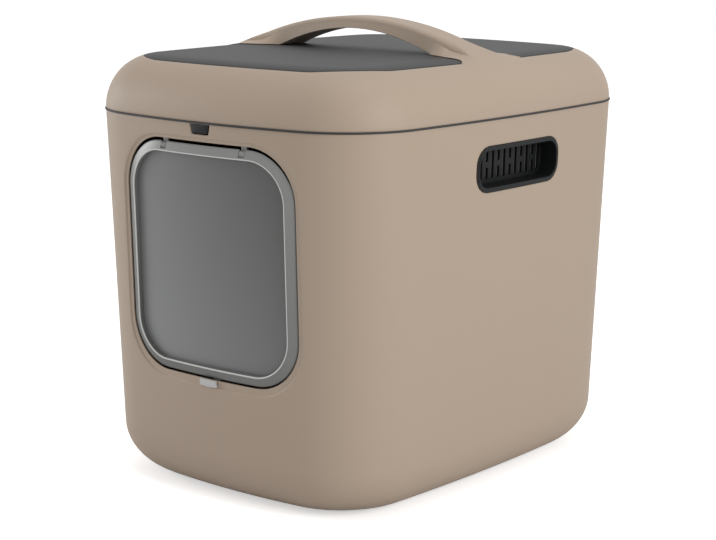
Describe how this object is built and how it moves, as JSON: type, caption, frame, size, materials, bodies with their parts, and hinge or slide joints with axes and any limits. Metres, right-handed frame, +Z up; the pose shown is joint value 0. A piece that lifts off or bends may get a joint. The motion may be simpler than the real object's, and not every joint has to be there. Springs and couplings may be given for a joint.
{
  "type": "litter box",
  "caption": "Covered litter box: moulded tub with a swing flap in the front wall, hinged lid with an arched carry handle, vented side grips",
  "frame": {"origin": "on the floor under the middle of the box's outline, with the lid closed", "axes": "+Z up, +Y from the flap side to the hinge side, +X to the right as seen from the flap side"},
  "size_m": [0.402, 0.512, 0.4802],
  "materials": {
    "tub_plastic": "fine matt taupe",
    "lid_plastic": "fine matt taupe",
    "dark_plastic": "matt anthracite",
    "latch_plastic": "satin dark blue-grey",
    "pin_steel": "drawn wire",
    "rim_plastic": "satin pale grey",
    "window_plastic": "smoke grey, slightly translucent",
    "lock_plastic": "white satin",
    "grip_plastic": "matt near-black",
    "filter_felt": "charcoal felt"
  },
  "bodies": {
    "base": {"base_tub": "tub_plastic", "side_grip_left": "grip_plastic", "side_grip_right": "grip_plastic", "vent_filter_left": "filter_felt", "vent_filter_right": "filter_felt", "filter_cover_left": "grip_plastic", "filter_cover_right": "grip_plastic", "hinge_pin_left": "pin_steel", "hinge_pin_right": "pin_steel", "flap_hinge_left": "rim_plastic", "flap_hinge_right": "rim_plastic", "flap_pin_left": "pin_steel", "flap_pin_right": "pin_steel"},
    "lid": {"lid_frame": "lid_plastic", "lid_inner": "dark_plastic", "latch_pin": "pin_steel"},
    "latch": {"lid_latch": "latch_plastic"},
    "flap": {"flap_rim": "rim_plastic", "flap_window": "window_plastic"},
    "lock": {"flap_lock": "lock_plastic"}
  },
  "joints": [
    {"name": "lid_hinge", "type": "hinge", "parent": "base", "child": "lid", "pos_m": [0, 0.2515, 0.3886], "axis": [-1, 0, 0], "range_deg": [0, 95]},
    {"name": "latch_press", "type": "hinge", "parent": "lid", "child": "latch", "pos_m": [0, -0.247, 0.397], "axis": [1, 0, 0], "range_deg": [0, 8], "stiffness_Nm_per_rad": 0.02},
    {"name": "flap_swing", "type": "hinge", "parent": "base", "child": "flap", "pos_m": [0, -0.2484, 0.36171], "axis": [1, 0, 0], "range_deg": [-80, 80]},
    {"name": "lock_slide", "type": "slide", "parent": "base", "child": "lock", "axis": [0, -0.034, 0.9994], "range_m": [0, 0.005]}
  ]
}
